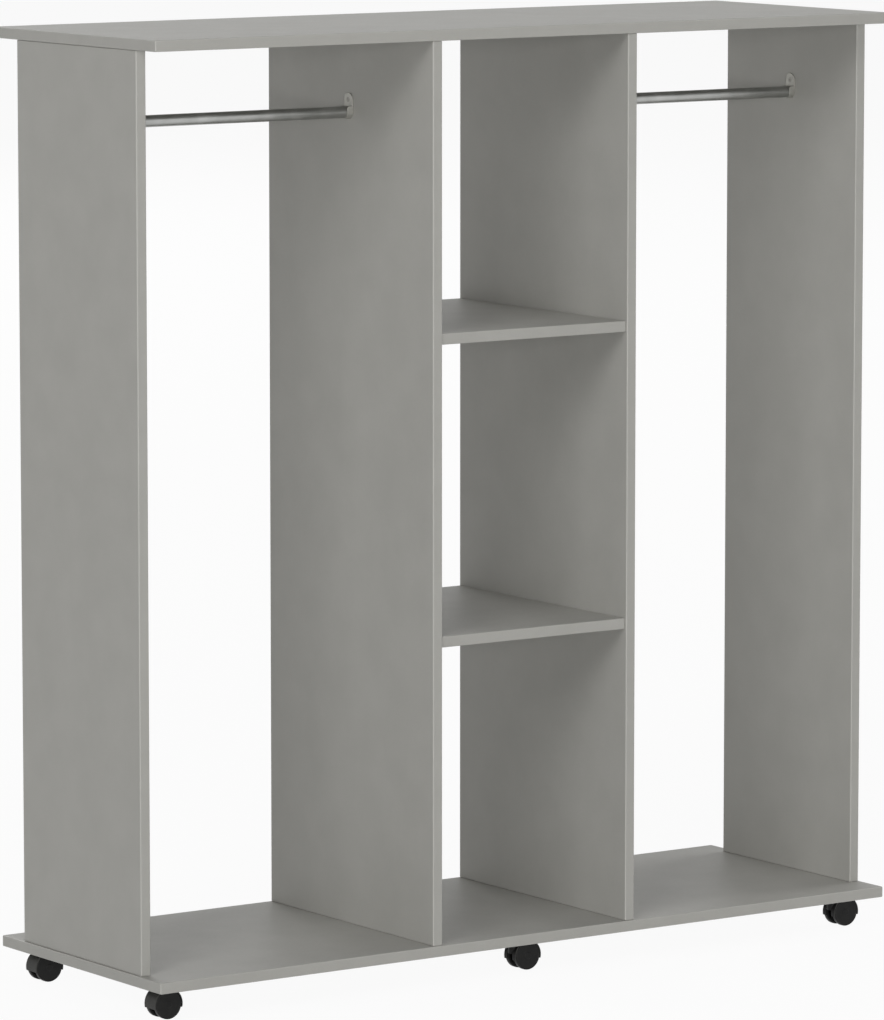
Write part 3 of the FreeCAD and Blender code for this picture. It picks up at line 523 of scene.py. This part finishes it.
def rib_tree(name, material):
    """Straight ribs between a wheel's hub and its rim, set round its axis."""
    tree = bpy.data.node_groups.new(name, "GeometryNodeTree")
    size = size_inputs(tree, ("Ribs", "Ring radius", "Rib length", "Rib thickness", "Rib height"))
    ring = put(tree, "GeometryNodeMeshCircle", {"Vertices": size["Ribs"], "Radius": size["Ring radius"]})
    box = put(tree, "ShaderNodeCombineXYZ", {"X": size["Rib thickness"], "Y": size["Rib height"],
                                             "Z": size["Rib length"]})
    bar = put(tree, "GeometryNodeMeshCube", {"Size": box.outputs[0]})
    outward = put(tree, "GeometryNodeInputPosition")
    turn = put(tree, "FunctionNodeAlignRotationToVector", {"Vector": outward.outputs[0]}, axis="Z")
    upright = put(tree, "FunctionNodeAlignRotationToVector", {
        "Rotation": turn.outputs[0], "Vector": (0, 0, 1)}, axis="Y", pivot_axis="Z")
    many = put(tree, "GeometryNodeInstanceOnPoints", {
        "Points": ring.outputs[0], "Instance": bar.outputs["Mesh"], "Rotation": upright.outputs[0]})
    real = put(tree, "GeometryNodeRealizeInstances", {0: many.outputs[0]})
    dressed = put(tree, "GeometryNodeSetMaterial", {"Geometry": real.outputs[0], "Material": material})
    put(tree, "NodeGroupOutput", {"Pieces": dressed.outputs[0]})
    return tree


# Moulded black nylon: darker and smoother than the hood, with a slightly greyer, scuffed tread.
wheel_black = grained("black_nylon", "#151515", "#1D1D1C", cloud_mm=10, grain_mm=0.8, rough=(0.38, 0.5),
                      relief_mm=0.015, constants={"IOR": 1.53, "Specular IOR Level": 0.15})
shaded(wheel_black, "tread", "#20201F", share=0.7)
# Drawn bright steel, left bare.
bright_steel = grained("bright_drawn_steel", "#B5B6B7", "#C9CACA", cloud_mm=6, grain_mm=0.5, rough=(0.2, 0.3),
                       relief_mm=0.01, stretch=(1, 0.1, 1), constants={"Metallic": 1})

# Radius of the tread, and where its scuffed part starts on the rounded edges
TREAD = 0.0195
TREAD_FROM = 0.985 * TREAD
WHEEL_WIDTH = 0.0065
# Radius, distance from the inner side and rounding of each corner, from the hub's bore round to the axis
WHEEL_CORNERS = [
    (0, 0.0049, 0), (0.00255, 0.0049, 0.0002), (0.00255, 0, 0.0002), (0.006, 0, 0.0004),
    (0.006, 0.0045, 0.0004), (0.0165, 0.0045, 0.0005), (0.0165, 0, 0.0003), (TREAD, 0, 0.001),
    (TREAD, WHEEL_WIDTH, 0.001), (0.0178, WHEEL_WIDTH, 0.0002), (0.0174, 0.0062, 0.0002),
    (0.0047, 0.0062, 0.0002), (0.0044, WHEEL_WIDTH, 0.0002), (0, WHEEL_WIDTH, 0)]
# The middle of the ribs, from the wheel's inner side
RIB_MIDDLE = 0.0029
ribs = grown("wheel_rib_ring", rib_tree("wheel_ribs", wheel_black), [(0, 0, 0)], [UP],
             {"Ribs": 8, "Ring radius": 0.01125, "Rib length": 0.011, "Rib thickness": 0.001,
              "Rib height": 0.0034})
rib_mesh = ribs.data
bpy.data.objects.remove(ribs)
rib_mesh.transform(Matrix.Translation((0, 0, RIB_MIDDLE)))
wheel_shape = turned(rounded(WHEEL_CORNERS), Vector(), UP)
wheel_shape.from_mesh(rib_mesh)
wheel_mesh = bpy.data.meshes.new("caster_wheel")
wheel_shape.to_mesh(wheel_mesh)
wheel_shape.free()
wheel_mesh.materials.append(wheel_black)
on_tread = wheel_mesh.attributes.new("tread", "FLOAT", "FACE")
for face in wheel_mesh.polygons:
    on_tread.data[face.index].value = float(face.center.xy.length > TREAD_FROM)

for place in PLACES:
    dress(f"{place}_caster_axle", bright_steel)
    for side, turn in (("front", math.pi / 2), ("rear", -math.pi / 2)):
        source = f"{place}_caster_{side}_wheel"
        low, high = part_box(source)
        inner = high.y if side == "front" else low.y
        mesh = wheel_mesh.copy()
        centre = Vector(((low.x + high.x) / 2, inner, (low.z + high.z) / 2))
        mesh.transform(Matrix.Translation(centre) @ Matrix.Rotation(turn, 4, "X"))
        stand_for(as_piece(f"{source}_moulded", mesh), f"{source}_turning", "black_wheel", source)


# Studio
# A pale floor under four large soft boxes, the strongest in front and to the left, and a faint light
# from the sky. The camera stands where the photograph's did.

scene = bpy.context.scene
scene.view_settings.view_transform = "Standard"


def seen_directly(tree):
    """1 for rays that show the background itself: to the camera, in a reflection or through glass."""
    path = put(tree, "ShaderNodeLightPath")
    mirrored = put(tree, "ShaderNodeMath", {0: path.outputs["Is Camera Ray"],
                                            1: path.outputs["Is Glossy Ray"]}, operation="MAXIMUM")
    return put(tree, "ShaderNodeMath", {0: mirrored.outputs[0], 1: path.outputs["Is Transmission Ray"]},
               operation="MAXIMUM").outputs[0]


WHITE = linear("#FFFFFF")
SKY_STRENGTH = 0.1
world = bpy.data.worlds.new("soft_light")
world.use_nodes = True
scene.world = world
sky = world.node_tree
sky.nodes.clear()
light = put(sky, "ShaderNodeBackground", {"Color": WHITE, "Strength": SKY_STRENGTH})
backdrop = put(sky, "ShaderNodeBackground", {"Color": WHITE, "Strength": 1})
either = put(sky, "ShaderNodeMixShader", {0: seen_directly(sky), 1: light.outputs[0], 2: backdrop.outputs[0]})
put(sky, "ShaderNodeOutputWorld", {"Surface": either.outputs[0]})

# Pale paper floor. From above it is white with the shadow in it; from below it is clear.
FLOOR_HALF = 60
FLOOR_GLOW = 0.94
floor_mesh = bpy.data.meshes.new("studio_floor")
corners = [(x * FLOOR_HALF, y * FLOOR_HALF, 0) for x, y in ((-1, -1), (1, -1), (1, 1), (-1, 1))]
floor_mesh.from_pydata(corners, [], [(0, 1, 2, 3)])
floor = bpy.data.objects.new("studio_floor", floor_mesh)
scene.collection.objects.link(floor)
paper = bpy.data.materials.new("pale_paper")
paper.use_nodes = True
tree = paper.node_tree
tree.nodes.clear()
matt = put(tree, "ShaderNodeBsdfDiffuse", {"Color": linear("#F4F4F4")})
glow = put(tree, "ShaderNodeEmission", {"Color": WHITE, "Strength": 1})
share = put(tree, "ShaderNodeMath", {0: seen_directly(tree), 1: FLOOR_GLOW}, operation="MULTIPLY")
above = put(tree, "ShaderNodeMixShader", {0: share.outputs[0], 1: matt.outputs[0], 2: glow.outputs[0]})
clear = put(tree, "ShaderNodeBsdfTransparent")
underneath = put(tree, "ShaderNodeNewGeometry").outputs["Backfacing"]
both_sides = put(tree, "ShaderNodeMixShader", {0: underneath, 1: above.outputs[0], 2: clear.outputs[0]})
put(tree, "ShaderNodeOutputMaterial", {"Surface": both_sides.outputs[0]})
floor_mesh.materials.append(paper)

# Soft boxes all round. Each is given by how far it stands to the left of the front and above the
# middle of the object, in degrees, then its width in metres and its power in watts.
SOFT_BOXES = {
    "low_front_box": (24, 4, 3.6, 940), "high_left_box": (58, 31, 6, 655),
    "right_box": (-95, 25, 6, 600), "back_box": (-172, 16, 6, 600),
}
BOX_AIM = Vector((0, 0, 0.6))
BOX_DISTANCE = 14
for name, (left, raised, width, watts) in SOFT_BOXES.items():
    soft_box = bpy.data.lights.new(name, "AREA")
    soft_box.shape = "SQUARE"
    soft_box.size = width
    soft_box.energy = watts
    lamp = bpy.data.objects.new(name, soft_box)
    lamp.visible_camera = False
    turn = Matrix.Rotation(math.radians(-left), 4, "Z") @ Matrix.Rotation(math.radians(90 - raised), 4, "X")
    lamp.matrix_world = Matrix.Translation(BOX_AIM) @ turn @ Matrix.Translation((0, 0, BOX_DISTANCE))
    scene.collection.objects.link(lamp)

camera_data = bpy.data.cameras.new("camera")
camera_data.lens = 230.54
camera_data.sensor_width = 36
camera_data.clip_end = 200
camera = bpy.data.objects.new("camera", camera_data)
camera.location = (-5.0596, -7.2770, 1.7577)
camera.rotation_euler = (math.radians(82.651), 0, math.radians(-34.728))
scene.collection.objects.link(camera)
scene.camera = camera
